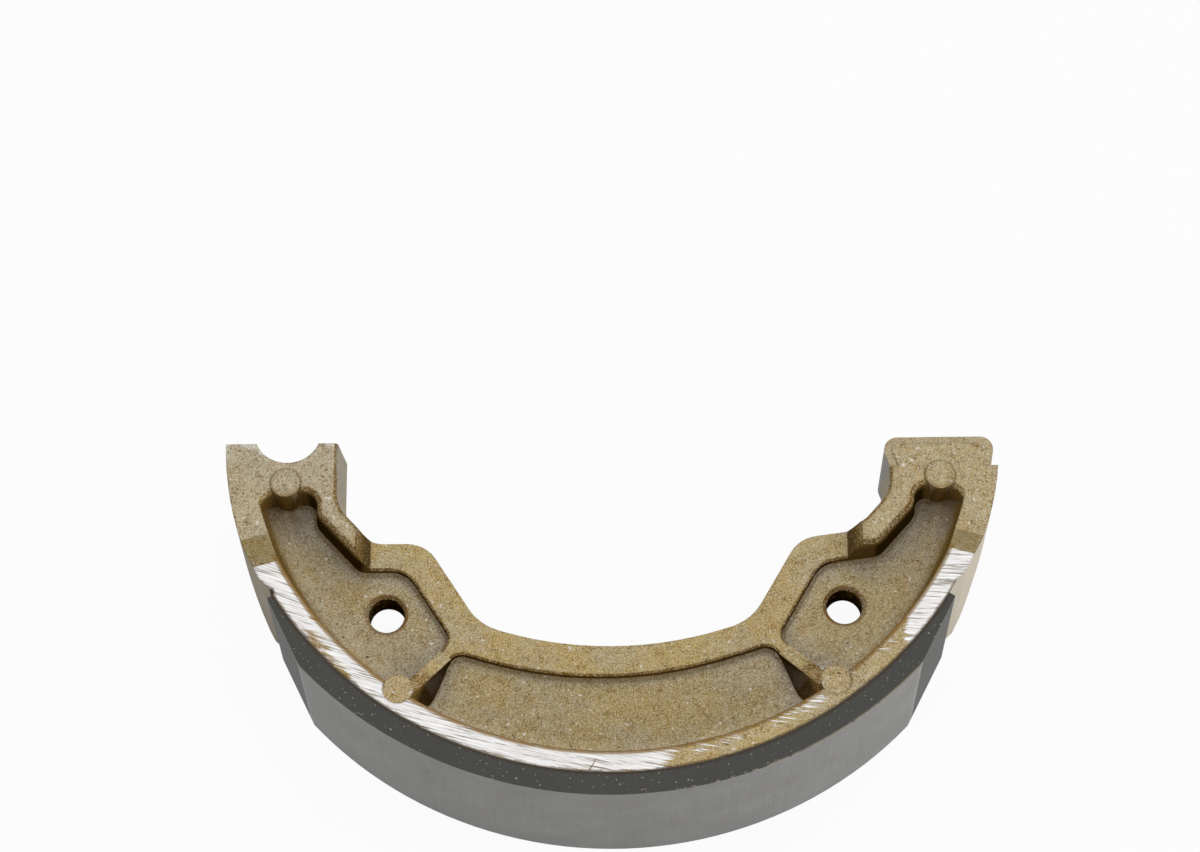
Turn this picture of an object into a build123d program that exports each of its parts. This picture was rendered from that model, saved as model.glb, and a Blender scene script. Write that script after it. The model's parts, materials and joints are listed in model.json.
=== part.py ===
from build123d import *
import math
import os

# Brake shoe for a small drum brake: a cast web and rim, a bonded lining and a steel wear plate.
# Millimetres. The origin is on the drum's axis, level with the side that the shoe lies on.
# +Z runs along the drum's axis, +X towards the cam end and -Y towards the middle of the lining.

# Friction lining
drum_radius = 65.0
lining_thickness = 3.6
shoe_width = 28.0
lining_pivot_angle = 148.3
lining_cam_angle = 32.6
lining_pivot_chamfer_angle = 10.8
lining_cam_chamfer_angle = 11.4
lining_end_thickness = 1.1

# Rim
rim_thickness = 3.4
rim_flank_rise = 0.6
rim_wall_draft = 6.5
rim_root_fillet = 5.0
rim_edge_break = 0.3
seat_pivot_angle = 149.6
seat_cam_angle = 30.2
seat_run_out_angle = 1.8

# Thicknesses, all centred on the middle of the shoe's width
web_thickness = 5.6
flange_thickness = 8.8
end_thickness = 17.2
inner_wall_draft = 6.0
arm_edge_radius = 0.8
cast_edge_break = 0.3

# Ramps from the end blocks up to the rim's side faces
ramp_tilt = 16.0
pivot_ramp_angle = 153.05
pivot_ramp_length = 7.2
cam_ramp_angle = 25.9
cam_ramp_length = 5.6

# Pivot end block and its seat for the anchor pin
end_face_y = -4.7
pivot_flank_inset = 1.0
pivot_flank_angle = 152.0
anchor_pin_radius = 5.3
anchor_seat_x = -51.2
anchor_seat_depth = 3.3

# Cam end block and its steel wear plate
cam_flank_inset = 0.85
cam_flank_angle = 17.0
plate_thickness = 1.2
plate_width = 18.45
plate_inset = 0.4
plate_leg_length = 5.0
plate_inner_lean = 1.7
plate_outer_lean = 0.9
plate_bend_radius = 2.1
plate_side_margin = 0.2

# Inner edge of the flange, from the pivot end to the cam end
pivot_arm_x = -42.4
pivot_neck_y = -14.87
pivot_shoulder_x = -37.94
pivot_shoulder_y = -19.87
pivot_boss_x = -29.15
pivot_waist_x = -20.55
pivot_waist_y = -33.65
crown_apex_y = -40.07
crown_radius = 57.0
cam_waist_x = 21.25
cam_waist_y = -33.4
cam_boss_x = 29.15
cam_boss_y = -19.67
cam_shoulder_x = 38.63
cam_shoulder_y = -18.4
cam_neck_y = -13.48
cam_arm_x = 42.95
neck_radius = 5.0
shoulder_radius = 4.5
boss_radius = 6.0
waist_radius = 8.0

# Widths of the flange and arms beside the pockets
pivot_arm_width = 4.4
pivot_bend_width = 4.65
cam_arm_width = 5.05
cam_bend_width = 5.55
shoulder_width = 4.95
boss_width = 5.45
pivot_crown_width = 5.85
cam_crown_width = 5.1

# Pockets in the web's sides
pocket_end_y = -13.2
pocket_end_y_behind = -11.0
pocket_draft = 5.0
pocket_end_radius = 1.7
pocket_outer_radius = 3.0
pocket_bend_radius = 3.0
pocket_boss_radius = 4.5
pocket_corner_radius = 2.2
pocket_floor_break = 0.5
pocket_edge_radius = 1.1

# Ribs between the pockets, steep towards the shoe's ends and sloping towards its middle
rib_width = 2.2
rib_steep_foot = 2.0
pivot_rib_slope_foot = 5.6
cam_rib_slope_foot = 7.0
pivot_rib_x = -26.1
pivot_rib_y = -39.0
cam_rib_x = 26.6
cam_rib_y = -38.6
rib_rim_level = 9.8

# Arm tips, where the end blocks step down to the flange
pivot_tip_x = -38.0
cam_tip_x = 37.0
tip_run = 2.2

# Holes for the return springs' hooks
hook_hole_radius = 2.8
hook_hole_chamfer = 0.55
pivot_hole_x = -35.5
pivot_hole_y = -31.6
cam_hole_x = 36.3
cam_hole_y = -30.95

# Ejector pads on one side of the casting
ejector_pad_radius = 2.35
end_pad_rise = 0.25
rim_pad_drop = 0.25
pivot_pad_x = -51.35
pivot_pad_y = -11.5
cam_pad_x = 51.75
cam_pad_y = -11.3
pivot_rim_pad_angle = 124.5
cam_rim_pad_angle = 54.15

overshoot = 6.0
touching = 0.0001


def polar(radius, angle):
    """Point on a circle about the drum's axis; the angle is counted below +X, in degrees."""
    turn = math.radians(angle)
    return (radius * math.cos(turn), -radius * math.sin(turn))


# Sizes that follow from the ones above
half_width = shoe_width / 2
web_level = web_thickness / 2
flange_level = flange_thickness / 2
end_level = end_thickness / 2
seat_radius = drum_radius - lining_thickness
rim_flank_radius = seat_radius + rim_flank_rise
rim_inner_radius = seat_radius - rim_thickness
pivot_flank_x = pivot_flank_inset - rim_flank_radius
cam_flank_x = rim_flank_radius - cam_flank_inset
plate_outer_x = cam_flank_x - plate_inset
plate_inner_x = plate_outer_x - plate_width
pivot_ramp_top = polar(seat_radius - rim_thickness / 3, pivot_ramp_angle)
cam_ramp_top = polar(seat_radius - rim_thickness / 3, cam_ramp_angle)
pivot_rib_ends = ((pivot_rib_x, pivot_rib_y), polar(rim_inner_radius, pivot_rim_pad_angle))
cam_rib_ends = ((cam_rib_x, cam_rib_y), polar(rim_inner_radius, cam_rim_pad_angle))


def edge_line(start, end, offset):
    """Straight line through two points, moved to its right by an offset."""
    (ax, ay), (bx, by) = start, end
    length = math.hypot(bx - ax, by - ay)
    ux, uy = (bx - ax) / length, (by - ay) / length
    return (ax + uy * offset, ay - ux * offset, ux, uy)


def meet(first, second):
    """Point where two lines cross."""
    ax, ay, aux, auy = first
    bx, by, bux, buy = second
    along = ((bx - ax) * buy - (by - ay) * bux) / (aux * buy - auy * bux)
    return (ax + along * aux, ay + along * auy)


def along_line(line, distance):
    """Point on a line, a distance on from where it starts."""
    x, y, ux, uy = line
    return (x + distance * ux, y + distance * uy)


def mirrored(points):
    """The same points on the other side of the shoe's middle."""
    return [(-x, y) for x, y in points]


def rounded_polygon(points, radii):
    """Closed outline whose corners have their own radii; a radius of 0 leaves a corner sharp."""
    face = make_face(Polyline(*points, close=True))
    for point, radius in zip(points, radii):
        if radius:
            corner = face.vertices().sort_by_distance((*point, 0))[0]
            face = fillet(corner, radius)
    return face


def upright(radius, x, y, low, high):
    """Upright cylinder between two levels."""
    return Pos(x, y, low) * Cylinder(radius, high - low, align=(Align.CENTER, Align.CENTER, Align.MIN))


def flange_corners():
    """Sharp corners of the flange's inner edge, from the pivot end face to the cam end face."""
    return [
        (pivot_arm_x, end_face_y),
        (pivot_arm_x, pivot_neck_y),
        (pivot_shoulder_x, pivot_shoulder_y),
        (pivot_boss_x, pivot_shoulder_y),
        (pivot_waist_x, pivot_waist_y),
        (0, crown_apex_y),
        (cam_waist_x, cam_waist_y),
        (cam_boss_x, cam_boss_y),
        (cam_shoulder_x, cam_shoulder_y),
        (cam_arm_x, cam_neck_y),
        (cam_arm_x, end_face_y),
    ]


def flank_outline():
    """Area inside the casting's outer flank, with the space inside the arc still filled."""
    pivot_corner = (pivot_flank_x, end_face_y)
    cam_corner = (cam_flank_x, end_face_y)
    pivot_run = polar(rim_flank_radius, pivot_flank_angle)
    cam_run = polar(rim_flank_radius, cam_flank_angle)
    edges = [
        Line(pivot_corner, cam_corner),
        TangentArc(cam_run, cam_corner, tangent=(-cam_run[1], cam_run[0])),
        ThreePointArc(pivot_run, (0, -rim_flank_radius), cam_run),
        TangentArc(pivot_run, pivot_corner, tangent=(pivot_run[1], -pivot_run[0])),
    ]
    return make_face(Curve() + edges)


def inner_opening():
    """Drafted cutter for the open space inside the flange and the arms."""
    corners = flange_corners()
    top = end_face_y + overshoot
    points = [(corners[0][0], top), *corners[1:-1], (corners[-1][0], top)]
    bends = [neck_radius, shoulder_radius, boss_radius, waist_radius]
    edge = FilletPolyline(*points, radius=[*bends, crown_radius, *bends[::-1]])
    area = make_face(Curve() + [edge, Line(points[-1], points[0])])
    return extrude(area, end_level, dir=(0, 0, 1), taper=-inner_wall_draft)


def end_pocket(corners, widths, rib_start, rib_end, end_y):
    """Outline of the pocket between the pivot end block, the rim, a rib and the flange."""
    end_wall = (0, end_y, 1, 0)
    walls = [edge_line(a, b, width) for a, b, width in zip(corners, corners[1:], widths)]
    rib_wall = edge_line(rib_start, rib_end, rib_width / 2)
    lines = [end_wall, *walls, rib_wall]
    bends = [meet(a, b) for a, b in zip(lines, lines[1:])]
    bend_radii = [pocket_bend_radius, pocket_bend_radius, pocket_boss_radius]
    radii = [0, pocket_end_radius, *bend_radii, pocket_corner_radius, 0, 0]
    far = 2 * drum_radius
    points = [(-far, end_y), *bends, along_line(rib_wall, far), (-far, -far)]
    area = rounded_polygon(points, radii) & Circle(rim_radius_at(end_level))
    corner = area.vertices().sort_by_distance((-rim_flank_radius, end_y, 0))[0]
    return fillet(corner, pocket_outer_radius)


def crown_pocket():
    """Outline of the long pocket between the two ribs."""
    apex = (0, crown_apex_y)
    pivot_wall = edge_line((pivot_waist_x, pivot_waist_y), apex, pivot_crown_width)
    cam_wall = edge_line(apex, (cam_waist_x, cam_waist_y), cam_crown_width)
    pivot_rib = edge_line(*pivot_rib_ends, -rib_width / 2)
    cam_rib = edge_line(*cam_rib_ends, rib_width / 2)
    far = 2 * drum_radius
    points = [
        meet(pivot_rib, pivot_wall),
        meet(pivot_wall, cam_wall),
        meet(cam_wall, cam_rib),
        along_line(cam_rib, far),
        along_line(pivot_rib, far),
    ]
    radii = [pocket_corner_radius, crown_radius + pivot_crown_width, pocket_corner_radius, 0, 0]
    return rounded_polygon(points, radii) & Circle(rim_radius_at(end_level))


def pockets(end_y, is_front):
    """Drafted cutters for the pivot, cam and crown pockets in one side, with soft floor edges in front."""
    corners = flange_corners()
    pivot_widths = [pivot_arm_width, pivot_bend_width, shoulder_width, boss_width]
    cam_widths = [cam_arm_width, cam_bend_width, shoulder_width, boss_width]
    pivot_area = end_pocket(corners[:5], pivot_widths, *pivot_rib_ends, end_y)
    cam_area = end_pocket(mirrored(corners[:5:-1]), cam_widths, *mirrored(cam_rib_ends), end_y)
    cutters = []
    for area in (pivot_area, mirror(cam_area, Plane.YZ), crown_pocket()):
        cutter = extrude(Pos(0, 0, web_level) * area, end_level, dir=(0, 0, 1), taper=-pocket_draft)
        if is_front:
            cutter = chamfer(cutter.edges().group_by(Axis.Z)[0], pocket_floor_break)
        cutters.append(cutter)
    return cutters


def rim_radius_at(level):
    """Inner radius of the rim's drafted wall at a height over the middle of the width."""
    return rim_inner_radius - (half_width - level) * math.tan(math.radians(rim_wall_draft))


def ramp_cut(top, length):
    """Cutter above a ramp that falls from the rim's side face to an end block's level."""
    side = math.copysign(1, top[0])
    tilt = math.radians(ramp_tilt)
    downhill = (side * math.sin(tilt), math.cos(tilt), 0)
    plane = Plane(origin=(*top, 0), x_dir=downhill, z_dir=(downhill[1], -downhill[0], 0))
    far = drum_radius
    profile = Polyline(
        (0, half_width), (length, end_level), (far, end_level), (far, shoe_width), (0, shoe_width), close=True
    )
    return extrude(plane * make_face(profile), far / 2, both=True)


def rim_half():
    """Upper half of the rim: a revolved section with a deep fillet, ramped down at both ends."""
    root_radius = rim_radius_at(web_level)
    inside = root_radius - 1.5 * rim_root_fillet
    section = make_face(
        Polyline(
            (inside, 0),
            (rim_flank_radius, 0),
            (rim_flank_radius, half_width),
            (rim_inner_radius, half_width),
            (root_radius, web_level),
            (inside, web_level),
            close=True,
        )
    )
    root = section.vertices().sort_by_distance((root_radius, web_level, 0))[0]
    section = fillet(root, rim_root_fillet)
    edge = section.vertices().sort_by_distance((rim_inner_radius, half_width, 0))[0]
    section = chamfer(edge, rim_edge_break)
    ring = revolve(Plane.XZ * section, Axis.Z, -180)
    ring &= extrude(flank_outline(), half_width)
    ring -= ramp_cut(pivot_ramp_top, pivot_ramp_length)
    ring -= ramp_cut(cam_ramp_top, cam_ramp_length)
    return ring


def rib(start, end, slope_foot):
    """Tapered rib that rises from the flange to the rim, where an ejector pad ends it."""
    half = rib_width / 2
    run = Vector(end[0] - start[0], end[1] - start[1], 0).normalized()
    across = Vector(-run.Y, run.X, 0)
    if across.X * start[0] > 0:
        across = -across
    sections = []
    for (x, y), height, steep, slope in (
        (start, flange_level, half, half),
        (end, rib_rim_level, rib_steep_foot, slope_foot),
    ):
        profile = Polyline((-steep, 0), (slope, 0), (half, height), (-half, height), close=True)
        plane = Plane(origin=(x, y, 0), x_dir=across, z_dir=across.cross(Vector(0, 0, 1)))
        sections.append(plane * make_face(profile))
    return loft(sections)


def hook_hole(x, y):
    """Cutter for a spring hook's hole with its broken edge, from the middle of the web up."""
    break_top = Cone(
        hook_hole_radius,
        hook_hole_radius + 2 * hook_hole_chamfer,
        2 * hook_hole_chamfer,
        align=(Align.CENTER, Align.CENTER, Align.MIN),
    )
    shaft = upright(hook_hole_radius, x, y, -web_level, web_thickness)
    return shaft + Pos(x, y, web_level - hook_hole_chamfer) * break_top


def tip_cut():
    """Cutter that lowers the flange between the two arms, with a sloped step at each tip."""
    above = end_level + overshoot
    slope = tip_run / (end_level - flange_level)
    reach = slope * (above - flange_level)
    profile = Polyline(
        (pivot_tip_x, flange_level),
        (pivot_tip_x - reach, above),
        (cam_tip_x + reach, above),
        (cam_tip_x, flange_level),
        close=True,
    )
    return extrude(Plane.XZ * make_face(profile), drum_radius)


def flat_edges(shape, level):
    """Edges of a shape that lie flat at a height."""
    return [e for e in shape.edges() if all(abs((e @ place).Z - level) < touching for place in (0, 0.5, 1))]


def arm_edges(shape):
    """Top edges of the end blocks and the arms towards the open space."""
    inner = []
    for edge in flat_edges(shape, end_level):
        middle = edge @ 0.5
        if middle.Y < end_face_y - touching and math.hypot(middle.X, middle.Y) < rim_inner_radius:
            inner.append(edge)
    return inner


def pocket_edges(shape, cutter, level):
    """Edges that a pocket leaves in a face at a height."""
    return [e for e in flat_edges(shape, level) if cutter.distance_to(Vertex(*(e @ 0.5))) < touching]


def casting_half(pocket_end, is_front):
    """One side of the casting, built upwards from the middle of the shoe's width."""
    half = extrude(flank_outline(), end_level)
    half -= inner_opening()
    if is_front:
        half = fillet(arm_edges(half), arm_edge_radius)
    *end_cutters, crown_cutter = pockets(pocket_end, is_front)
    for cutter in end_cutters:
        half -= cutter
        if is_front:
            half = fillet(pocket_edges(half, cutter, end_level), pocket_edge_radius)
    half -= tip_cut()
    half -= crown_cutter
    if is_front:
        for cutter in (*end_cutters, crown_cutter):
            half = chamfer(pocket_edges(half, cutter, flange_level), cast_edge_break)
    half += rim_half()
    half += rib(*pivot_rib_ends, pivot_rib_slope_foot)
    half += rib(*cam_rib_ends, cam_rib_slope_foot)
    if is_front:
        rim_pad_level = half_width - rim_pad_drop
        for _, (x, y) in (pivot_rib_ends, cam_rib_ends):
            half -= upright(ejector_pad_radius, x, y, rim_pad_level, shoe_width)
            half += upright(ejector_pad_radius, x, y, 0, rim_pad_level)
        half += upright(ejector_pad_radius, pivot_pad_x, pivot_pad_y, 0, end_level + end_pad_rise)
        half += upright(ejector_pad_radius, cam_pad_x, cam_pad_y, 0, end_level + end_pad_rise)
    half -= hook_hole(pivot_hole_x, pivot_hole_y)
    half -= hook_hole(cam_hole_x, cam_hole_y)
    return half


def plate_profile(inset):
    """Side view of the wear plate's outside, or of its inside when set in by its thickness."""
    foot_y = end_face_y - plate_leg_length
    inner_leg = edge_line((plate_inner_x + plate_inner_lean, foot_y), (plate_inner_x, end_face_y), inset)
    face = edge_line((plate_inner_x, end_face_y), (plate_outer_x, end_face_y), inset)
    outer_leg = edge_line((plate_outer_x, end_face_y), (plate_outer_x - plate_outer_lean, foot_y), inset)
    foot = edge_line((plate_outer_x, foot_y), (plate_inner_x, foot_y), 0)
    legs = [meet(foot, inner_leg), meet(inner_leg, face), meet(face, outer_leg), meet(outer_leg, foot)]
    bend = plate_bend_radius - inset
    return rounded_polygon(legs, [0, bend, bend, 0])


def seat_cut():
    """Cutter for the turned seat under the lining, with its run-out at both ends."""
    start, end = seat_cam_angle, seat_pivot_angle
    middle = (start + end) / 2
    before, after = start - seat_run_out_angle, end + seat_run_out_angle
    outside = rim_flank_radius + overshoot
    profile = [
        ThreePointArc(polar(seat_radius, start), polar(seat_radius, middle), polar(seat_radius, end)),
        Polyline(polar(seat_radius, end), polar(rim_flank_radius, after), polar(outside, after)),
        ThreePointArc(polar(outside, after), polar(outside, middle), polar(outside, before)),
        Polyline(polar(outside, before), polar(rim_flank_radius, before), polar(seat_radius, start)),
    ]
    return extrude(make_face(Curve() + profile), half_width + overshoot, both=True)


def anchor_seat():
    """Cutter for the half-round seat that rests on the anchor pin."""
    pin_y = end_face_y + anchor_pin_radius - anchor_seat_depth
    return upright(anchor_pin_radius, anchor_seat_x, pin_y, -shoe_width, shoe_width)


def plate_seat():
    """Cutter that leaves the nose inside the wear plate and the shoulders under its legs."""
    foot_y = end_face_y - plate_leg_length
    middle_x = (plate_inner_x + plate_outer_x) / 2
    width = 2 * (plate_outer_x - plate_inner_x)
    around = Pos(middle_x, foot_y) * Rectangle(
        width, plate_leg_length + overshoot, align=(Align.CENTER, Align.MIN)
    )
    return extrude(around - plate_profile(plate_thickness), half_width, both=True)


def make_casting():
    """The shoe's casting: both sides joined, with its machined faces cut."""
    casting = casting_half(pocket_end_y, True)
    casting += mirror(casting_half(pocket_end_y_behind, False), Plane.XY)
    casting -= seat_cut()
    casting -= anchor_seat()
    casting -= plate_seat()
    return Pos(0, 0, half_width) * casting


def make_wear_plate():
    """Bent steel plate that wraps the cam end."""
    bend = plate_profile(0) - plate_profile(plate_thickness)
    plate = extrude(bend, end_level - plate_side_margin, both=True)
    return Pos(0, 0, half_width) * plate


def make_lining():
    """Bonded friction lining with its long flat chamfers at both ends."""
    start, end = lining_cam_angle, lining_pivot_angle
    middle = (start + end) / 2
    tip = seat_radius + lining_end_thickness
    cam_corner = polar(drum_radius, start + lining_cam_chamfer_angle)
    pivot_corner = polar(drum_radius, end - lining_pivot_chamfer_angle)
    profile = [
        ThreePointArc(polar(seat_radius, start), polar(seat_radius, middle), polar(seat_radius, end)),
        Polyline(polar(seat_radius, end), polar(tip, end), pivot_corner),
        ThreePointArc(pivot_corner, polar(drum_radius, middle), cam_corner),
        Polyline(cam_corner, polar(tip, start), polar(seat_radius, start)),
    ]
    return extrude(make_face(Curve() + profile), shoe_width)


nodes = {
    "shoe_casting": make_casting(),
    "friction_lining": make_lining(),
    "cam_wear_plate": make_wear_plate(),
}

os.makedirs("parts", exist_ok=True)
for name, solid in nodes.items():
    export_step(solid, f"parts/{name}.step")
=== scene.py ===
"""Finishes for a cast brake shoe with a bonded friction lining and a steel wear plate, on a pale stage."""

import json
import math

import bpy
from bpy.props import FloatProperty, FloatVectorProperty, PointerProperty
from mathutils import Matrix, Vector


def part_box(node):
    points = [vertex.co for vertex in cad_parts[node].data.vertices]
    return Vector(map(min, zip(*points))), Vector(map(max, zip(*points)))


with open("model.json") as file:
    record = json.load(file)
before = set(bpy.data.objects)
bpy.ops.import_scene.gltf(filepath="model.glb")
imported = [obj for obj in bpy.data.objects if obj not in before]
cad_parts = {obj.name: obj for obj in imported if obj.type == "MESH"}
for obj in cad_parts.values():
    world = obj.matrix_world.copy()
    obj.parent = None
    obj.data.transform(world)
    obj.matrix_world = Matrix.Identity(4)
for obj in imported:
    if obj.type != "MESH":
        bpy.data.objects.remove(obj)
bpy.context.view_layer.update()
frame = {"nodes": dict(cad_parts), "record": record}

bl_info = {
    "name": "Brake Shoe",
    "version": (1, 0, 0),
    "blender": (4, 5, 0),
    "location": "3D View > Sidebar > Brake Shoe",
    "description": "Finishes a cast brake shoe, its lining and its wear plate, and sets the stage",
    "category": "Material",
}

MILLIMETRES = 1000.0
shoe_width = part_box("friction_lining")[1].z
shoe_middle = Vector((0, -0.036, shoe_width / 2))

# Heights of the casting's faces above its mid-plane, in millimetres
rim_face = shoe_width * MILLIMETRES / 2
block_face = 8.6
flange_face = 4.4
web_face = 2.8

# Heights above the floor, in millimetres
shoe_top = 2 * rim_face
block_top = rim_face + block_face

# Radii about the drum's axis, in millimetres
rim_inner = 58.0
lining_seat = 61.4
working_radius = 65.0

# How far from a point the nodes look for walls and edges, in metres, and with how many samples
crease_reach = 0.0016
hollow_reach = 0.007
brow_reach = 0.0012
wall_samples = 6
edge_samples = 5
bevel_samples = 4

# Round marks on the upper side: places and radii in millimetres, and the colour of each small mark
ejector_pad_radius = 2.45
arm_pads = ((-51.35, -11.5), (51.75, -11.3))
rim_pads = ((-32.85, -47.8), (33.97, -47.01))
small_marks = (
    (46.03, -9.53, 0.4, "bare_speck_and_glint"),
    (47.38, -8.7, 0.35, "bare_speck_and_glint"),
    (-52.6, -31.7, 0.75, "deep_varnish_and_shade"),
    (-33.69, -48.62, 0.35, "edge_varnish"),
)

# The hairline across the rim's ground side: its middle, in millimetres, and its lean
hairline_x = -3.1
hairline_y = -60.2
hairline_lean = 0.57

# The belt's strokes on the rim's sides: their direction, how it turns along the shoe, width and lengths
stroke_lean = 0.21
stroke_turn = 0.0016
stroke_width = 0.28
stroke_length = 8.0
long_stroke_length = 14.0

# The streaks across the lining's working face: how many to a radian, and their length in millimetres
streaks_per_radian = 150.0
streak_length = 26.0
fine_streaks_per_radian = 420.0
fine_streak_length = 9.0

# What the belt touched, as stops of place along the shoe, from pivot end to cam end, and of share
rim_half_length = 60.0
ground_stops = (
    (0.0, 0.8), (0.095, 0.74), (0.115, 0.5), (0.155, 0.5), (0.18, 0.7),
    (0.4, 0.76), (0.53, 0.72), (0.59, 0.34), (0.865, 0.34), (0.885, 0.8),
)
nick_stops = (
    (0.585, 0.0), (0.605, 0.85), (0.655, 0.75), (0.67, 0.35), (0.7, 0.75),
    (0.765, 1.0), (0.78, 0.25), (0.815, 0.5), (0.855, 0.6), (0.87, 0.0),
)


class Amount:
    """A socket's value, which shader maths is written with: an expression on it adds its Math nodes."""

    def __init__(self, sheet, socket):
        self.sheet = sheet
        self.socket = socket

    def work(self, operation, *inputs):
        return self.sheet.node("Math", {"operation": operation}, dict(enumerate(inputs)))

    def __add__(self, other):
        return self.work("ADD", self, other)

    __radd__ = __add__

    def __sub__(self, other):
        return self.work("SUBTRACT", self, other)

    def __rsub__(self, other):
        return self.work("SUBTRACT", other, self)

    def __mul__(self, other):
        return self.work("MULTIPLY", self, other)

    __rmul__ = __mul__

    def __truediv__(self, other):
        return self.work("DIVIDE", self, other)

    def __abs__(self):
        return self.work("ABSOLUTE", self)

    def rises(self, low, high):
        """0 below low, 1 above high and smooth between; with low above high it falls instead."""
        sockets = {"Value": self, "From Min": low, "From Max": high}
        return self.sheet.node("MapRange", {"interpolation_type": "SMOOTHSTEP"}, sockets)

    def within(self, start, full, last, end):
        """1 from full to last, 0 before start and after end, and smooth between."""
        return self.rises(start, full) * self.rises(end, last)

    def or_more(self, other):
        return self.work("MAXIMUM", self, other)

    def or_less(self, other):
        return self.work("MINIMUM", self, other)


class Sheet:
    """The node tree of one material or of the world."""

    def __init__(self, tree):
        self.tree = tree
        tree.nodes.clear()

    def node(self, kind, settings, sockets, output=0):
        """Adds a node with its settings, then its sockets' values or links, and returns one output or all."""
        made = self.tree.nodes.new("ShaderNode" + kind)
        for name, value in settings.items():
            if name == "stops":
                ramp = made.color_ramp.elements
                while len(ramp) < len(value):
                    ramp.new(1.0)
                for stop, (position, level) in zip(ramp, value):
                    stop.position = position
                    stop.color = (level, level, level, 1)
            else:
                setattr(made, name, value)
        for name, value in sockets.items():
            if isinstance(value, Amount):
                self.tree.links.new(value.socket, made.inputs[name])
            elif made.inputs[name].type == "RGBA":
                made.inputs[name].default_value = (*value[:3], 1)
            else:
                made.inputs[name].default_value = value
        if output is None:
            return [Amount(self, socket) for socket in made.outputs]
        return Amount(self, made.outputs[output])

    def mix(self, mask, below, above):
        """A colour laid over another where the mask says."""
        return self.node("Mix", {"data_type": "RGBA"}, {0: mask, 6: below, 7: above}, 2)

    def shade(self, colour, level):
        """A colour made lighter or darker by a number."""
        return self.node("VectorMath", {"operation": "SCALE"}, {0: colour, "Scale": level})

    def vector(self, x, y, z):
        return self.node("CombineXYZ", {}, {0: x, 1: y, 2: z})

    def length(self, vector):
        return self.node("VectorMath", {"operation": "LENGTH"}, {0: vector}, 1)

    def speckle(self, place, size, detail, roughness):
        """Smooth noise about 0.5, with spots of a size in the units of its place."""
        sockets = {"Vector": place, "Scale": 1 / size, "Detail": detail, "Roughness": roughness}
        return self.node("TexNoise", {}, sockets)

    def output(self, kind, surface):
        made = self.tree.nodes.new("ShaderNode" + kind)
        self.tree.links.new(surface.socket, made.inputs["Surface"])


class Paint:
    """Where a point of the shoe is, in millimetres, which way its surface faces, and the coats laid on it."""

    def __init__(self, sheet, look, first_coat):
        self.sheet = sheet
        self.look = look
        self.colour = first_coat
        coordinates = sheet.node("TexCoord", {}, {}, None)
        facing, in_metres = coordinates[1], coordinates[3]
        self.place = sheet.shade(in_metres, MILLIMETRES)
        self.x, self.y, self.z = sheet.node("SeparateXYZ", {}, {0: self.place}, None)
        self.facing_x, self.facing_y, self.facing_z = sheet.node("SeparateXYZ", {}, {0: facing}, None)
        self.flatness = abs(self.facing_z)
        self.radius = sheet.length(sheet.vector(self.x, self.y, 0.0))
        self.facing_out = (self.facing_x * self.x + self.facing_y * self.y) / self.radius

    def from_axis(self, x, y):
        """Distance from an upright axis."""
        return self.sheet.length(self.sheet.vector(self.x - x, self.y - y, 0.0))

    def speckle(self, size, detail, roughness):
        """Noise with spots of a size in millimetres."""
        return self.sheet.speckle(self.place, size, detail, roughness)

    def nook(self, reach):
        """How far a point lies inside a corner or a pocket, from 0 in the open to 1."""
        settings = {"samples": wall_samples, "only_local": True}
        return 1 - self.sheet.node("AmbientOcclusion", settings, {"Distance": reach}, 1)

    def ridge(self, reach):
        """How near a point lies to an outer edge, from 0 on flat faces to 1."""
        settings = {"samples": edge_samples, "only_local": True, "inside": True}
        return 1 - self.sheet.node("AmbientOcclusion", settings, {"Distance": reach}, 1)

    def lay(self, mask, coat, strength=1.0):
        """Lays a coat over the colour so far, where the mask says."""
        self.colour = self.sheet.mix(mask * strength, self.colour, coat)

    def shade(self, level):
        """Makes the colour so far lighter or darker."""
        self.colour = self.sheet.shade(self.colour, level)

    def sanded_varnish(self, dull):
        """Golden brown varnish with stains and tints, and the sand grain and blotches under it."""
        look = self.look
        grain_width = look.grain_size * MILLIMETRES
        self.grain = self.speckle(grain_width, 2.0, 0.8)
        self.blotches = self.speckle(5 * grain_width, 3.0, 0.7)
        backwards = self.sheet.shade(self.place, -1.0)
        stains = self.sheet.speckle(backwards, 7.0, 4.0, 0.65)
        tints = self.sheet.speckle(backwards, 1.6 * grain_width, 2.0, 0.7)
        self.lay(dull, look.dull_varnish)
        self.lay(stains.rises(0.52, 0.7), look.stained_varnish, 0.6)
        self.lay(tints - 0.5, look.stained_varnish, 4.0)
        self.lay(0.5 - tints, look.dull_varnish, 4.0)

    def sand_grain(self):
        """Dark varnish in the pits between the grains and light worn crests on them."""
        self.lay((0.5 - self.grain) * 4.5 + (0.5 - self.blotches) * 1.9, self.look.pooled_varnish_and_shade)
        self.lay((self.grain - 0.5) * 4.1 + (self.blotches - 0.5) * 0.8, self.look.worn_crest_and_glint)


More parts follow.
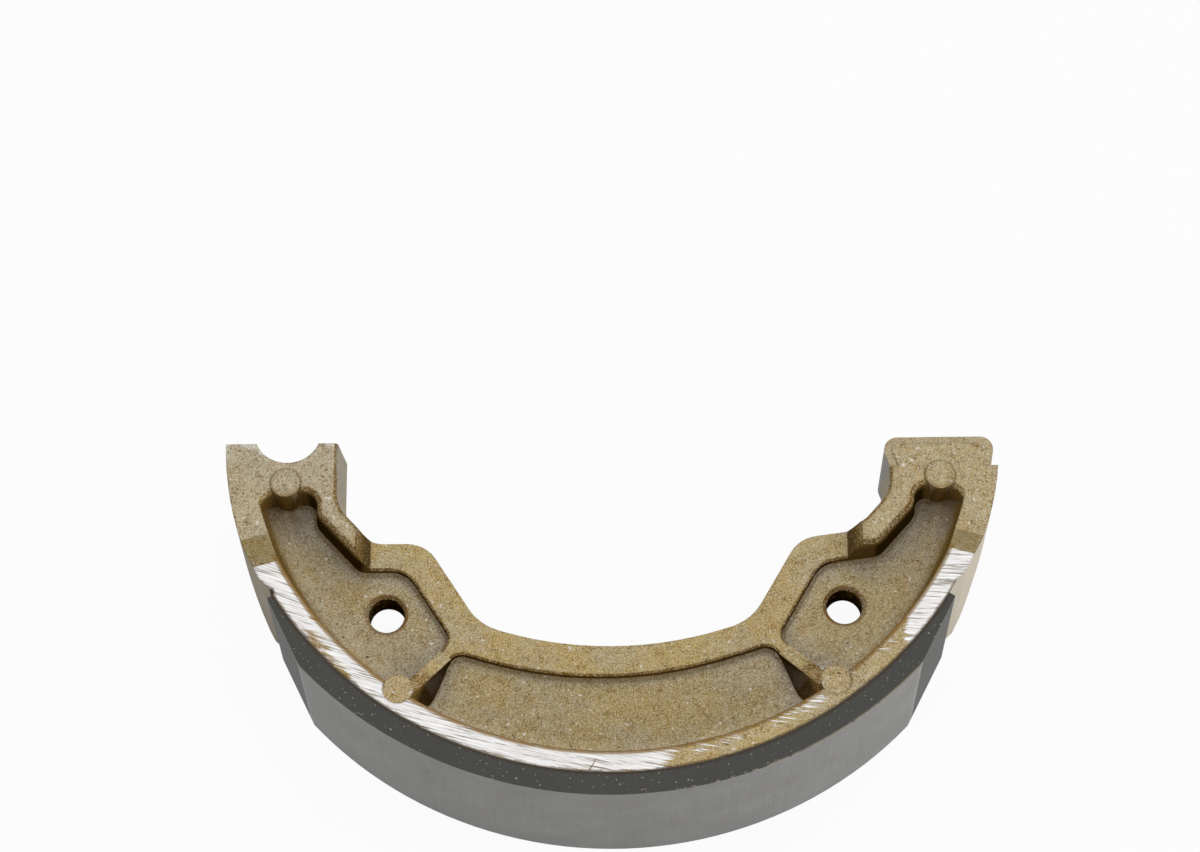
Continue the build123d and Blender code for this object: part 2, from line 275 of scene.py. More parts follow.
class CastingPaint(Paint):
    """The casting's coats, one method each, in the order in which they are laid."""

    def __init__(self, sheet, look):
        super().__init__(sheet, look, look.varnish)
        self.from_middle = abs(self.z - rim_face)
        self.steep = self.flatness.rises(0.9, 0.3)
        self.level = self.flatness.rises(0.9, 0.99)
        self.floor = self.level * self.from_middle.rises(web_face + 0.6, web_face + 0.2)
        inside_rim = self.radius.rises(rim_inner - 0.6, rim_inner - 1.2)
        self.in_pocket = self.y.rises(-9.0, -10.0) * inside_rim * self.facing_out.rises(-0.45, -0.15)
        self.beside_arm_pads = [self.from_axis(*pad) for pad in arm_pads]
        self.beside_rim_pads = [self.from_axis(*pad) for pad in rim_pads]

    def near_block_face(self, start, full, last, end):
        """1 on the end blocks' upper and lower faces, with its borders as distances from them."""
        borders = [block_face + border for border in (start, full, last, end)]
        return self.from_middle.within(*borders)

    def near_arm_pads(self, end, last):
        """1 on and beside the pads on the arms, with its borders as distances from their edge."""
        pivot_pad, cam_pad = self.beside_arm_pads
        borders = (ejector_pad_radius + end, ejector_pad_radius + last)
        return pivot_pad.rises(*borders) + cam_pad.rises(*borders)

    def varnish(self):
        """Varnish in large patches, greyer on the end blocks and thinnest at the pivot end, with painted
        shade on the pocket floors.
        """
        patches = self.speckle(11.0, 3.0, 0.6)
        end_block = self.level * self.near_block_face(-2.6, -0.6, 1.4, 3.4)
        dull = patches.rises(0.42, 0.64) + 0.5 * end_block + 0.4 * self.x.rises(10.0, 35.0)
        self.sanded_varnish(dull.or_less(1.0))
        self.lay(end_block * self.x.rises(-30.0, -45.0), self.look.thin_varnish_and_sheen, 0.4)
        # Lightens all the varnish, and darkens the pocket floors as painted shade, less so towards the cam
        # end.
        self.shade(1.26 - 0.16 * self.floor + 0.1 * self.floor * self.x.rises(15.0, 40.0))

    def thin_feet(self):
        """Thin grey varnish at the foot of the pockets' walls, and on the slope of the rim's root a grey band
        with a painted highlight half-way up and painted shade on the rest, darker at the pivot end.
        """
        self.crease = self.nook(crease_reach) + 0.5 * (self.blotches - 0.5)
        self.hollow = self.nook(hollow_reach) + 0.25 * (self.blotches - 0.5)
        slope = self.flatness.within(0.35, 0.6, 0.9, 0.995)
        self.on_slope = slope * self.from_middle.rises(10.0, 6.0) * self.hollow.rises(0.05, 0.25)
        thin = (self.floor * self.hollow.rises(0.1, 0.32)).or_more(self.on_slope)
        # Painted highlight where the slope faces half-way up, painted shade on the rest of the slope, more at
        # the pivot end.
        painted_sheen = self.flatness.within(0.7, 0.84, 0.93, 0.985)
        light = 1.0 + self.on_slope * (0.3 * painted_sheen - 0.16 - 0.1 * self.x.rises(-38.0, -45.0))
        self.lay(thin, self.sheet.shade(self.look.thin_varnish_and_sheen, light), 0.85)

    def grain_and_pits(self):
        """Sand grain, dark pits, light specks that are partly bare metal and partly painted sparkle, and
        painted shade on the tilted ramps at the rim's ends.
        """
        self.sand_grain()
        pits = self.speckle(0.8, 1.0, 0.5)
        self.lay(pits.rises(0.30, 0.2), self.look.deep_varnish_and_shade, 0.85)
        # Light specks: partly bare metal, partly painted sparkle.
        self.lay(pits.rises(0.66, 0.77), self.look.bare_speck_and_glint, 0.85)
        # Painted shade: the ramps are picked by how far they tilt, and darkened.
        ramp = self.facing_z.within(0.64, 0.7, 0.84, 0.9) * self.radius.rises(rim_inner - 0.4, rim_inner)
        self.shade(1.0 - 0.33 * ramp)

    def pocket_walls(self):
        """Brown on the walls and in the corners, partly pooled varnish and partly painted shade, a painted
        glint on the floor by the arm pads, and painted shade darkest half-way down the walls, most on those
        that face away from the key light.
        """
        look, radius = self.look, self.radius
        pocket_wall = self.steep * self.in_pocket
        rim_wall = radius.within(rim_inner - 4.0, rim_inner - 3.0, rim_inner + 0.4, rim_inner + 0.7)
        rim_wall = self.flatness.rises(0.75, 0.4) * rim_wall * (1 - self.in_pocket)
        rim_wall = rim_wall * (0.72 + 0.28 * abs(self.x).rises(42.0, 50.0))
        self.brown_wall = pocket_wall.or_more(rim_wall).or_more(self.steep * self.hollow.rises(0.2, 0.5))
        # Pooled varnish and painted shade on the walls, and painted shade in the creases.
        self.lay((self.brown_wall * 0.9).or_more(self.crease.rises(0.2, 0.5) * 0.55), look.pooled_varnish_and_shade)

        # Painted glint on the floor beside the arm pads.
        painted_glint_by_pads = self.near_arm_pads(1.85, 0.85) * self.floor
        self.lay(painted_glint_by_pads * self.blotches.rises(0.4, 0.6), look.worn_crest_and_glint, 0.7)
        # Painted shade at the foot of the outer walls near the ends.
        outer_foot_shade = self.floor.or_more(self.on_slope) * self.hollow.rises(0.22, 0.45)
        outer_foot_shade = outer_foot_shade * radius.rises(50.0, 53.0) * abs(self.x).rises(34.0, 40.0)
        self.lay(outer_foot_shade, look.pooled_varnish_and_shade, 0.5)

        self.pad_foot = self.near_arm_pads(0.55, 0.25)
        # Painted shade, darkest half-way down the walls and on walls turned away from the key light.
        half_way_down = self.from_middle.rises(block_face - 0.3, block_face - 2.0)
        deepest = pocket_wall * half_way_down * (1 - 0.65 * self.pad_foot)
        turned_from_key_light = abs(self.facing_x).rises(0.15, 0.45) * self.facing_y.rises(0.7, 0.2)
        self.lay(deepest * (0.45 + 0.55 * turned_from_key_light), look.deep_varnish_and_shade, 0.94)

    def pocket_edges(self):
        """Gold-brown varnish along the rounded edges of the pockets, with painted golden glints."""
        look = self.look
        rim_side = self.facing_out.rises(-0.3, -0.5) * self.radius.rises(50.5, 52.0)
        rim_side = rim_side * self.near_block_face(-3.4, -1.8, 0.1, 0.6)
        above_floor = self.from_middle.rises(flange_face - 0.7, flange_face - 0.4)
        rounded = self.flatness.rises(0.985, 0.93) * above_floor * self.in_pocket.or_more(rim_side)
        self.rounded = rounded * (1 - 0.5 * self.pad_foot) * (1 - self.steep)
        uneven = self.blotches.rises(0.36, 0.56)
        self.edge_shade = self.sheet.mix(uneven, look.pooled_varnish_and_shade, look.edge_varnish)
        self.lay(self.rounded, self.edge_shade, 0.92)
        self.shade(1.0 + (self.grain - 0.5) * (self.brown_wall + 2.6 * self.rounded))
        # Painted glints along the rounded edges.
        self.painted_glints = self.rounded * (self.grain + 0.3 * (self.blotches - 0.5)).rises(0.54, 0.62)
        self.lay(self.painted_glints, look.worn_crest_and_glint, 0.8)

    def hole_walls(self):
        """Brown walls of the holes in the web, partly varnish and partly painted shade, with painted glints
        on their edges.
        """
        look = self.look
        wall_shade = self.sheet.mix(self.blotches.rises(0.5, 0.66), look.deep_varnish_and_shade, look.pooled_varnish_and_shade)
        hole_shade = self.sheet.mix(self.steep, look.edge_varnish, wall_shade)
        for x, y, hole_radius in hook_holes():
            in_hole = self.from_axis(x, y).rises(hole_radius + 0.85, hole_radius + 0.5)
            self.lay(in_hole, hole_shade, 0.9)
            # Painted glints on the holes' edges.
            self.lay(in_hole * (1 - self.steep) * self.grain.rises(0.55, 0.64), look.bare_speck_and_glint, 0.8)

    def arm_tips(self):
        """Brown slopes at the arms' tips, partly varnish and partly painted shade, darkest at their foot as
        painted shade and with painted glints near their top, and brown lips along the arms.
        """
        look = self.look
        tip = abs(self.x).rises(34.0, 35.5) * self.y.rises(-27.5, -26.0) * self.radius.rises(50.0, 48.5)
        tip = tip * self.from_middle.rises(flange_face - 0.4, flange_face + 0.4)
        self.tip = tip * (1 - self.level) * self.steep.rises(0.98, 0.8)
        # Pooled varnish and painted shade on the tips' slopes.
        self.lay(self.tip * (self.blotches + 0.4).rises(0.4, 0.8), look.pooled_varnish_and_shade, 0.95)
        # Painted shade, darkest at the foot of the slopes.
        foot = self.tip * self.from_middle.rises(block_face - 0.8, block_face - 3.0)
        self.lay(foot * (self.blotches + 0.3).rises(0.5, 0.8), look.deep_varnish_and_shade, 0.6)
        # Painted glints, most near the top of the slopes.
        crests = self.grain + 0.1 * self.from_middle.rises(block_face - 2.1, block_face - 0.1)
        self.lay(self.tip * crests.rises(0.6, 0.68), look.worn_crest_and_glint, 0.6)
        self.brow = self.ridge(brow_reach)
        lip = self.level * self.brow.rises(0.06, 0.4) * self.in_pocket
        lip = lip * self.near_block_face(-0.4, -0.1, 0.2, 0.6)
        self.lay(lip * (0.2 + self.blotches).rises(0.5, 0.8), look.edge_varnish, 0.75)

    def pad_rings(self):
        """A thin dark ring round each ejector pad."""
        upper_side = self.z.rises(block_top - 0.6, block_top - 0.1)
        for beside_pad in (*self.beside_arm_pads, *self.beside_rim_pads):
            ring = abs(beside_pad - ejector_pad_radius).rises(0.22, 0.06) * upper_side
            self.lay(ring * (self.blotches + 0.3).rises(0.6, 1.0), self.look.pooled_varnish_and_shade, 0.8)

    def bare_walls(self):
        """Bare walls outside the rim and around the open space, brown along their top edge, with painted
        light on the flank towards the cam end.
        """
        look, radius = self.look, self.radius
        flank = self.facing_out.rises(0.4, 0.8) * radius.rises(rim_inner - 4.0, rim_inner - 2.0)
        open_wall = self.steep * self.facing_out.rises(0.0, -0.3) * (1 - self.tip)
        open_wall = open_wall * radius.rises(rim_inner - 4.0, rim_inner - 5.0)
        end_face = self.steep * self.y.rises(-10.0, -9.0) * (1 - flank)
        self.open_wall = open_wall.or_more(end_face) * self.hollow.rises(0.3, 0.1)
        self.bare_wall = flank.or_more(self.open_wall)
        # Painted light: the flank is made lighter towards the cam end.
        light = 0.8 + 0.4 * self.blotches + 0.8 * flank * self.x.rises(30.0, 50.0)
        self.lay(self.bare_wall, self.sheet.shade(look.bare_flank, light), 0.9)
        top_edge = self.brow.rises(0.12, 0.5) * (1 - self.level) * (1 - self.in_pocket)
        top_edge = top_edge * self.from_middle.rises(block_face - 2.1, block_face - 0.6)
        top_edge = top_edge * radius.rises(rim_inner, rim_inner - 1.0)
        self.lay(top_edge * (0.2 + self.blotches).rises(0.45, 0.8), look.pooled_varnish_and_shade, 0.8)

    def edge_wear_and_highlight(self):
        """Light specks along the end blocks' edges, partly bare worn metal and partly painted highlight, and
        brown varnish along the rim's inner edge.
        """
        # Partly bare worn metal, partly painted highlight along the edges.
        worn = self.level * self.brow.rises(0.1, 0.4) * self.near_block_face(-0.6, -0.1, 1.4, 3.4)
        worn = worn * self.y.rises(-8.0, -6.0) * (self.blotches - 0.002 * self.x).rises(0.5, 0.7)
        self.lay(worn, self.look.bare_speck_and_glint)
        rim_line = self.radius.within(rim_inner - 0.5, rim_inner - 0.1, rim_inner + 0.5, rim_inner + 0.75)
        rim_line = rim_line * self.from_middle.rises(rim_face - 1.6, rim_face - 0.5)
        for beside_pad in self.beside_rim_pads:
            rim_line = rim_line * beside_pad.rises(ejector_pad_radius, ejector_pad_radius + 0.3)
        self.lay(rim_line * (0.3 + self.blotches).rises(0.5, 0.8), self.edge_shade, 0.8)

    def ground_rim(self):
        """The rim's sides, ground bright by a belt that left strokes, nicks and missed places."""
        sheet, look, x, radius = self.sheet, self.look, self.x, self.radius
        across = (self.y + stroke_lean * x - stroke_turn * x * x) / stroke_width
        strokes = sheet.speckle(sheet.vector(across, x / stroke_length, self.z), 1.0, 3.0, 0.7)
        long_place = sheet.vector(across / 4.0, x / long_stroke_length, self.z)
        self.long_strokes = sheet.speckle(long_place, 1.0, 2.0, 0.6)
        side = self.from_middle.rises(rim_face - 0.14, rim_face - 0.05)
        side = side * radius.rises(rim_inner, rim_inner + 0.25)

        along = (x + rim_half_length) / (2 * rim_half_length)
        reach = sheet.node("ValToRGB", {"stops": ground_stops}, {"Fac": along})
        inner_half = radius.rises(lining_seat - 0.5, lining_seat - 2.0)
        touched = 0.5 * self.long_strokes + 0.5 * strokes + 0.14 * inner_half * x.rises(12.0, 9.0)
        ground = side * (touched + reach).rises(1.0, 1.12)
        nick_reach = sheet.node("ValToRGB", {"stops": nick_stops}, {"Fac": along})
        nicks = side * radius.rises(lining_seat - 1.0, lining_seat - 2.0)
        nicks = nicks * (strokes + 0.3 * nick_reach).rises(0.76, 0.82)
        ground = ground.or_more(nicks) * (1 - 0.7 * radius.rises(rim_inner + 0.8, rim_inner + 0.4))

        scored = sheet.mix((0.47 - strokes) * 12.0, look.ground_metal, look.ground_groove)
        scored = sheet.mix((strokes - 0.53) * 10.0, scored, look.bright_stroke)
        self.lay(ground, scored)
        missed_edge = side * (1 - ground) * x.rises(10.0, 6.0)
        self.lay(missed_edge * (0.3 + self.blotches).rises(0.6, 0.9), look.edge_varnish, 0.7)
        self.side, self.ground, self.strokes = side, ground, strokes

    def glue_line(self):
        """A dark line of glue along the lining's seat."""
        look = self.look
        seat_line = (self.radius + 0.9 * (self.blotches - 0.5)).rises(lining_seat - 0.4, lining_seat - 0.15)
        seat_line = seat_line * self.from_middle.rises(rim_face - 1.1, rim_face - 0.7)
        shade = self.sheet.mix(self.long_strokes.rises(0.45, 0.6), look.pooled_varnish_and_shade, look.deep_varnish_and_shade)
        self.lay(seat_line * self.y.rises(-30.0, -32.5), shade, 0.65)

    def marks(self):
        """A hairline across the ground side, small marks, and the line where the mould's halves met."""
        look = self.look
        beside_hairline = self.x - hairline_lean * (self.y - hairline_y) - hairline_x + 0.3 * self.blotches
        hairline = abs(beside_hairline).rises(0.16, 0.06) * self.side
        hairline = hairline * abs(self.y - hairline_y + 0.1).rises(1.0, 0.8)
        self.lay(hairline, look.pooled_varnish_and_shade, 0.85)
        upper_side = self.z.rises(block_top - 1.1, block_top - 0.2)
        for x, y, mark_radius, coat in small_marks:
            beside_mark = self.from_axis(x, y) + 0.3 * (self.grain - 0.5)
            mark = beside_mark.rises(mark_radius, 0.5 * mark_radius)
            self.lay(mark * upper_side, getattr(look, coat), 0.85)
        self.lay(self.from_middle.rises(0.45, 0.1) * self.open_wall, look.dull_varnish, 0.5)


def new_finish(name):
    """An empty node-based material."""
    material = bpy.data.materials.new(name)
    material.use_nodes = True
    return material, Sheet(material.node_tree)


def put_on(node, material):
    """Gives a part of the frame its finish."""
    slots = frame["nodes"][node].data.materials
    slots.clear()
    slots.append(material)


def hook_holes():
    """The holes of the record's two hook mounts: their places and radius, in millimetres."""
    holes = []
    for mount in frame["record"]["mounts"]:
        if mount["name"].endswith("hook_hole"):
            x, y = mount["pos_m"][:2]
            holes.append((x * MILLIMETRES, y * MILLIMETRES, mount["dims"]["r_mm"]))
    return holes


def casting_finish(look):
    """Sand-cast aluminium under golden brown varnish, ground bright on the rim's sides."""
    material, sheet = new_finish("cast_aluminium")
    paint = CastingPaint(sheet, look)
    paint.varnish()
    paint.thin_feet()
    paint.grain_and_pits()
    paint.pocket_walls()
    paint.pocket_edges()
    paint.hole_walls()
    paint.arm_tips()
    paint.pad_rings()
    paint.bare_walls()
    paint.edge_wear_and_highlight()
    paint.ground_rim()
    paint.glue_line()
    paint.marks()

    grain, blotches, ground, strokes = paint.grain, paint.blotches, paint.ground, paint.strokes
    rough = 0.5 + 0.5 * (grain - 0.5) - 0.12 * paint.brown_wall - 0.08 * ground
    rough = rough + 0.2 * (strokes - 0.5) * ground
    bare = ground.or_more(0.55 * paint.bare_wall)
    height = (grain + 0.6 * blotches) * (1 - 0.92 * bare) + 0.5 * strokes * ground
    soft_edges = sheet.node("Bevel", {"samples": bevel_samples}, {"Radius": look.edge_radius})
    sockets = {"Strength": 0.9, "Distance": look.grain_depth, "Height": height, "Normal": soft_edges}
    bump = sheet.node("Bump", {}, sockets)
    glossy = (1 - paint.steep) * (1 - ground) * (1 - paint.rounded) * (1 - paint.tip)
    sockets = {
        "Base Color": paint.colour,
        "Metallic": 0.3 * ground,
        "Roughness": rough,
        "Specular IOR Level": 0.0,
        "Coat Weight": 0.25 * glossy + 0.3 * paint.painted_glints,
        "Coat Roughness": 0.3,
        "Normal": bump,
    }
    sheet.output("OutputMaterial", sheet.node("BsdfPrincipled", {}, sockets))
    return material


def lining_finish(look):
    """Moulded friction material with flecks, ground along the shoe's width on its working face."""
    material, sheet = new_finish("friction_material")
    paint = Paint(sheet, look, look.lining)
    flecks = paint.speckle(0.5, 1.0, 0.5)
    crumbs = paint.speckle(0.9, 3.0, 0.7)
    patches = paint.speckle(9.0, 3.0, 0.6)
    paint.shade(0.66 + 0.36 * crumbs + 0.32 * patches)
    paint.lay(flecks.rises(0.68, 0.74), look.lining_fleck, 0.85)
    paint.lay(flecks.rises(0.3, 0.24) * crumbs.rises(0.4, 0.6), look.glue, 0.8)

    # Working face, lighter than the sides, with faint streaks
    turned_out = paint.facing_out.rises(0.6, 0.9)
    working = turned_out * paint.radius.rises(working_radius - 0.45, working_radius - 0.2)
    angle = sheet.node("Math", {"operation": "ARCTAN2"}, {0: paint.x, 1: 0 - paint.y})
    streak_place = sheet.vector(angle * streaks_per_radian, paint.z / streak_length, 0.0)
    streaks = sheet.speckle(streak_place, 1.0, 4.0, 0.7)
    fine_place = sheet.vector(angle * fine_streaks_per_radian, paint.z / fine_streak_length, 3.0)
    fine_streaks = sheet.speckle(fine_place, 1.0, 2.0, 0.6)
    mottled = 0.32 + 0.4 * streaks + 0.14 * fine_streaks + 0.6 * patches + 0.4 * crumbs
    worked = sheet.shade(look.working_face, mottled)
    worked = sheet.mix(flecks.rises(0.70, 0.76) * 0.75, worked, look.lining_fleck)
    worked = sheet.mix(flecks.rises(0.28, 0.23) * 0.6, worked, look.lining)
    # Painted light: the working face is made lighter towards the cam end.
    worked = sheet.shade(worked, 1.0 + 0.0022 * paint.x)
    paint.lay(turned_out * (1 - working), sheet.shade(look.working_face, 0.45), 0.6)
    paint.lay(working, worked)

    # Chipped edge between the side and the working face, and the line of glue on the seat
    edge = paint.radius.rises(working_radius - 0.4, working_radius - 0.05)
    edge = edge * paint.z.rises(shoe_top - 0.45, shoe_top - 0.05)
    paint.lay(edge * (crumbs + 0.3 * paint.x.rises(-10.0, 45.0)).rises(0.62, 0.74), look.lining_fleck, 0.7)
    glue = (1 - working) * (paint.radius - 0.5 * crumbs).rises(lining_seat + 0.4, lining_seat + 0.05)
    paint.lay(glue, look.glue, 0.85)

    height = crumbs + 0.5 * flecks - 0.6 * working * crumbs + 0.8 * streaks * working
    bump = sheet.node("Bump", {}, {"Strength": 0.5, "Distance": look.grain_depth, "Height": height})
    sockets = {
        "Base Color": paint.colour,
        "Roughness": 0.62 + 0.16 * (crumbs - 0.5) - 0.12 * working,
        "Specular IOR Level": 0.3,
        "Normal": bump,
    }
    sheet.output("OutputMaterial", sheet.node("BsdfPrincipled", {}, sockets))
    return material


def plate_finish(look):
    """Steel sheet with the casting's varnish on its edges and a dull bare face."""
    material, sheet = new_finish("wear_plate_steel")
    paint = Paint(sheet, look, look.varnish)
    paint.sanded_varnish(1.0)
    paint.shade(1.15)
    paint.sand_grain()
    grain, blotches = paint.grain, paint.blotches
    scuffs = sheet.speckle(sheet.vector(paint.x * 2.5, paint.y, paint.z / 5.0), 1.0, 3.0, 0.7)
    edge = paint.flatness.rises(0.5, 0.9)
    steel = sheet.shade(look.plate_steel, 0.62 + 0.4 * scuffs + 0.36 * blotches)
    steel = sheet.mix(blotches.rises(0.52, 0.7) * 0.4, steel, look.pooled_varnish_and_shade)
    height = grain + 0.6 * blotches
    bump = sheet.node("Bump", {}, {"Strength": 0.7, "Distance": look.grain_depth, "Height": height})
    sockets = {
        "Base Color": sheet.mix(edge * 0.96, steel, paint.colour),
        "Metallic": 0.2 - 0.2 * edge,
        "Roughness": 0.45 + 0.3 * (grain - 0.5) + 0.05 * edge,
        "Specular IOR Level": 0.2,
        "Coat Weight": 0.25 * edge,
        "Coat Roughness": 0.3,
        "Normal": bump,
    }
    sheet.output("OutputMaterial", sheet.node("BsdfPrincipled", {}, sockets))
    return material


def seen_rays(sheet):
    """1 for rays that come straight, mirrored or through glass from the camera."""
    rays = sheet.node("LightPath", {}, {}, None)
    camera, glossy, transmission = rays[0], rays[3], rays[6]
    return camera.or_more(glossy).or_more(transmission)


def floor_finish(stage):
    """Plain white floor that keeps a faint shadow."""
    material, sheet = new_finish("stage_floor")
    white = sheet.node("Emission", {}, {"Color": (1, 1, 1), "Strength": 1.0})
    matt = sheet.node("BsdfDiffuse", {}, {"Color": stage.floor_colour})
    mask = seen_rays(sheet) * stage.floor_glow
    sheet.output("OutputMaterial", sheet.node("MixShader", {}, {0: mask, 1: matt, 2: white}))
    return material


def colour_property(name, description, default):
    """A linear colour that the user may change."""
    return FloatVectorProperty(
        name=name, description=description, default=default, subtype="COLOR", size=3, min=0.0, max=1.0
    )


def length_property(name, description, default, top=2.0):
    """A length in metres that the user may change."""
    return FloatProperty(
        name=name,
        description=description,
        default=default,
        subtype="DISTANCE",
        unit="LENGTH",
        min=0.0,
        max=top,
    )


def power_property(name, description, default):
    """A lamp's power in watts that the user may change."""
    return FloatProperty(name=name, description=description, default=default, unit="POWER", min=0.0)


class ShoeLook(bpy.types.PropertyGroup):
    """Sizes and colours of the shoe's finishes."""

    grain_size: length_property("Sand grain", "Width of the casting's sand grain", 0.00027)
    grain_depth: length_property("Grain depth", "Height of the sand grain", 0.00009)
    edge_radius: length_property("Edge radius", "How far the casting's edges look rounded", 0.0006)
    varnish: colour_property("Varnish", "Golden varnish on open faces", (0.450, 0.335, 0.115))
    dull_varnish: colour_property("Dull varnish", "Greyer varnish in large patches", (0.420, 0.345, 0.205))
    # Used both for the light tops of the sand grain and for painted glints on edges, the arms' tips and the
    # floor by the pads.
    worn_crest_and_glint: colour_property("Worn crests", "Tops of the sand grain", (0.780, 0.680, 0.480))
    stained_varnish: colour_property("Stained varnish", "Orange-brown stains", (0.460, 0.280, 0.075))
    # Used both for thin grey varnish and for the grey of the painted highlight on the rim root's slope.
    thin_varnish_and_sheen: colour_property("Thin varnish", "Grey metal beside the walls", (0.420, 0.390, 0.325))
    # Used both for varnish gathered in hollows and as painted shade in corners, on walls and on the arms'
    # tips.
    pooled_varnish_and_shade: colour_property("Pooled varnish", "Varnish gathered in corners", (0.180, 0.100, 0.018))
    # Used both for dark pits, glue and marks and as the deepest painted shade on walls, in holes and at the
    # arms' tips.
    deep_varnish_and_shade: colour_property("Deep varnish", "Varnish in the deepest corners", (0.030, 0.016, 0.004))
    edge_varnish: colour_property("Edge varnish", "Gold-brown varnish along edges", (0.290, 0.150, 0.020))
    # Used both for bare metal specks and marks and for painted glints and highlights on edges and in the
    # holes.
    bare_speck_and_glint: colour_property("Bare specks", "Metal that shines through the varnish", (0.86, 0.82, 0.72))
    bare_flank: colour_property("Bare flank", "Cast surface outside the rim", (0.47, 0.43, 0.36))
    ground_metal: colour_property("Ground metal", "Belt-ground sides of the rim", (0.76, 0.745, 0.73))
    bright_stroke: colour_property("Bright strokes", "Brightest strokes of the belt", (0.92, 0.915, 0.91))
    ground_groove: colour_property("Ground grooves", "Grooves left by the belt", (0.26, 0.225, 0.18))
    lining: colour_property("Lining", "Sides of the friction material", (0.053, 0.052, 0.047))
    lining_fleck: colour_property("Lining flecks", "Light fibres in the lining", (0.42, 0.36, 0.27))
    working_face: colour_property("Working face", "Ground face of the lining", (0.235, 0.230, 0.222))
    glue: colour_property("Glue", "Line of glue beside the rim", (0.035, 0.024, 0.012))
    plate_steel: colour_property("Plate steel", "Sides of the wear plate", (0.21, 0.19, 0.17))


class ShoeStage(bpy.types.PropertyGroup):
    """Floor, light and camera."""

    floor_size: length_property("Floor", "Side of the square floor", 3.0, 10.0)
    floor_colour: colour_property("Floor colour", "The floor where light falls on it", (0.86, 0.86, 0.86))
    floor_glow: FloatProperty(
        name="Floor glow",
        description="Share of plain white that the camera sees",
        default=0.94,
        min=0.0,
        max=1.0,
    )
    sky: FloatProperty(name="Sky", description="Strength of the light from all sides", default=0.32, min=0.0)
    key_power: power_property("Key light", "Power of the soft light above the shoe", 7.6)
    fill_power: power_property("Fill light", "Power of the soft light in front", 0.9)
    side_power: power_property("Side light", "Power of the soft light on the cam end's side", 2.2)
    lens: FloatProperty(
        name="Lens",
        description="Focal length of the camera",
        default=108.68,
        subtype="DISTANCE_CAMERA",
        unit="CAMERA",
    )
    camera_place: FloatVectorProperty(
        name="Camera",
        description="Where the camera stands",
        default=(0.001518, -0.23055, 0.54947),
        subtype="TRANSLATION",
        unit="LENGTH",
    )
    camera_turns: FloatVectorProperty(
        name="Camera turns",
        description="Heading, tilt from straight down and roll",
        default=[math.radians(angle) for angle in (0.815, 23.43, -1.393)],
        subtype="EULER",
        unit="ROTATION",
    )


class SHOE_OT_casting(bpy.types.Operator):
    """Gives the casting its varnish, sand grain and ground rim"""

    bl_idname = "shoe.casting"
    bl_label = "Finish Casting"

    def execute(self, context):
        put_on("shoe_casting", casting_finish(context.scene.shoe_look))
        return {"FINISHED"}


class SHOE_OT_lining(bpy.types.Operator):
    """Gives the lining its flecked friction material and its working face"""

    bl_idname = "shoe.lining"
    bl_label = "Finish Lining"

    def execute(self, context):
        put_on("friction_lining", lining_finish(context.scene.shoe_look))
        return {"FINISHED"}


class SHOE_OT_wear_plate(bpy.types.Operator):
    """Gives the bent wear plate its dull steel"""

    bl_idname = "shoe.wear_plate"
    bl_label = "Finish Wear Plate"

    def execute(self, context):
        put_on("cam_wear_plate", plate_finish(context.scene.shoe_look))
        return {"FINISHED"}


def aimed_lamp(name, place, size, power):
    """A square soft lamp that shines at the middle of the shoe."""
    lamp = bpy.data.lights.new(name, "AREA")
    lamp.size = size
    lamp.energy = power
    holder = bpy.data.objects.new(name, lamp)
    holder.location = place
    holder.rotation_euler = (shoe_middle - Vector(place)).to_track_quat("-Z", "Y").to_euler()
    bpy.context.scene.collection.objects.link(holder)


def lay_floor(stage):
    """A square floor under the shoe, which isn't part of it."""
    half = stage.floor_size / 2
    corners = [(-half, -half, 0), (half, -half, 0), (half, half, 0), (-half, half, 0)]
    floor_mesh = bpy.data.meshes.new("stage_floor")
    floor_mesh.from_pydata(corners, [], [(0, 1, 2, 3)])
    floor_mesh.materials.append(floor_finish(stage))
    floor = bpy.data.objects.new("stage_floor", floor_mesh)
    bpy.context.scene.collection.objects.link(floor)


def light_sky(stage):
    """A white sky that lights the shoe softly and that the camera sees as plain white."""
    world = bpy.data.worlds.new("stage_sky")
    world.use_nodes = True
    sky = Sheet(world.node_tree)
    light = sky.node("Background", {}, {"Color": (1, 1, 1), "Strength": stage.sky})
    white = sky.node("Background", {}, {"Color": (1, 1, 1), "Strength": 1.0})
    sky.output("OutputWorld", sky.node("MixShader", {}, {0: seen_rays(sky), 1: light, 2: white}))
    bpy.context.scene.world = world


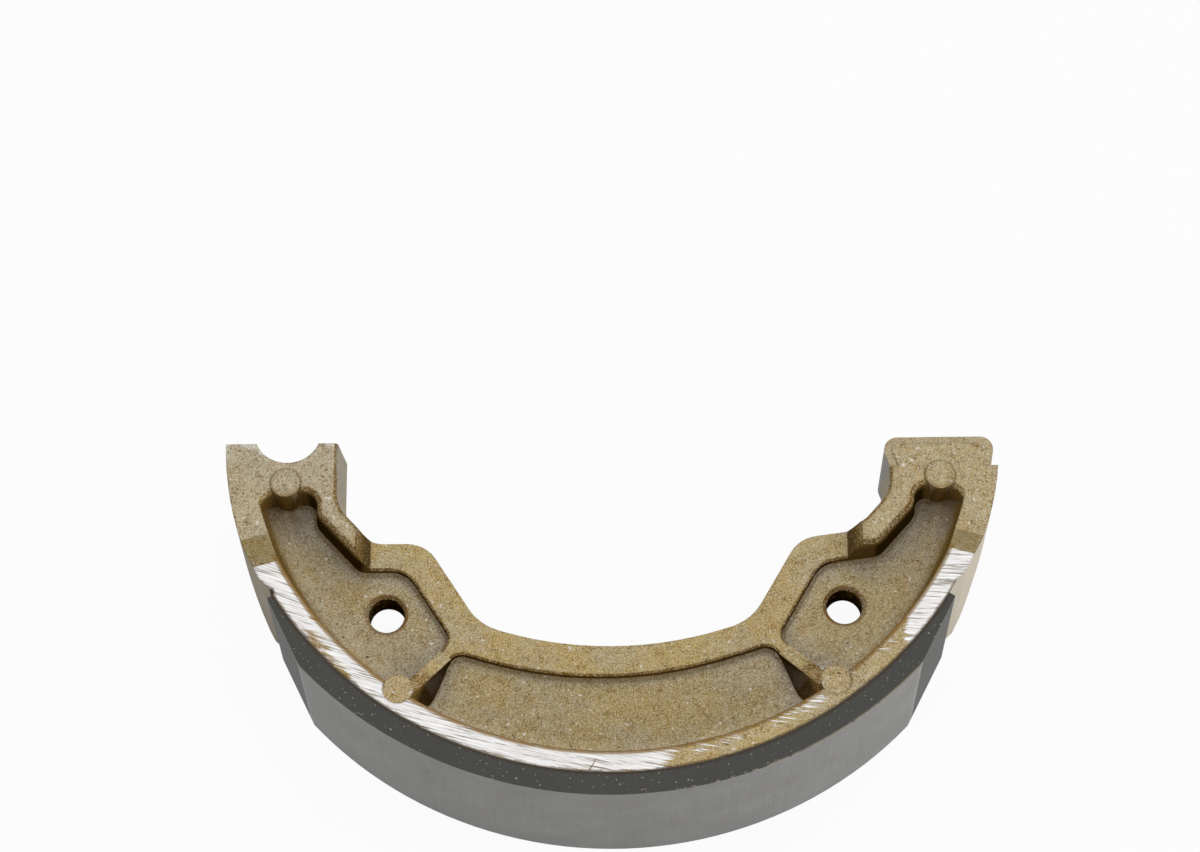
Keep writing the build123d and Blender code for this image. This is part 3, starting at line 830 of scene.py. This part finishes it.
def place_camera(stage):
    """A camera that looks down on the shoe as the photograph does."""
    lens = bpy.data.cameras.new("photo_camera")
    lens.lens = stage.lens
    camera = bpy.data.objects.new("photo_camera", lens)
    heading, tilt, roll = stage.camera_turns
    turn = Matrix.Rotation(heading, 4, "Z") @ Matrix.Rotation(tilt, 4, "X") @ Matrix.Rotation(roll, 4, "Z")
    camera.matrix_world = Matrix.Translation(stage.camera_place) @ turn
    bpy.context.scene.collection.objects.link(camera)
    bpy.context.scene.camera = camera


class SHOE_OT_stage(bpy.types.Operator):
    """Sets the floor, the sky, the soft lamps and the camera"""

    bl_idname = "shoe.stage"
    bl_label = "Set Stage"

    def execute(self, context):
        stage = context.scene.shoe_stage
        lay_floor(stage)
        light_sky(stage)
        aimed_lamp("key_lamp", (0.12, 0.55, 1.05), 1.4, stage.key_power)
        aimed_lamp("fill_lamp", (-0.5, -0.7, 0.6), 0.8, stage.fill_power)
        aimed_lamp("side_lamp", (0.85, -0.3, 0.4), 0.8, stage.side_power)
        place_camera(stage)
        context.scene.view_settings.view_transform = "Standard"
        return {"FINISHED"}


class SHOE_PT_panel(bpy.types.Panel):
    """Buttons for the shoe's finishes and stage"""

    bl_idname = "SHOE_PT_panel"
    bl_label = "Brake Shoe"
    bl_space_type = "VIEW_3D"
    bl_region_type = "UI"
    bl_category = "Brake Shoe"

    def draw(self, context):
        for operator in operators:
            self.layout.operator(operator.bl_idname)
        for settings in (context.scene.shoe_look, context.scene.shoe_stage):
            box = self.layout.box()
            for name in type(settings).__annotations__:
                box.prop(settings, name)


operators = (SHOE_OT_casting, SHOE_OT_lining, SHOE_OT_wear_plate, SHOE_OT_stage)
classes = (ShoeLook, ShoeStage, *operators, SHOE_PT_panel)


def register():
    for cls in classes:
        bpy.utils.register_class(cls)
    bpy.types.Scene.shoe_look = PointerProperty(type=ShoeLook)
    bpy.types.Scene.shoe_stage = PointerProperty(type=ShoeStage)


def unregister():
    del bpy.types.Scene.shoe_stage
    del bpy.types.Scene.shoe_look
    for cls in reversed(classes):
        bpy.utils.unregister_class(cls)


def main():
    register()
    bpy.ops.shoe.casting()
    bpy.ops.shoe.lining()
    bpy.ops.shoe.wear_plate()
    bpy.ops.shoe.stage()


if __name__ == "__main__":
    main()
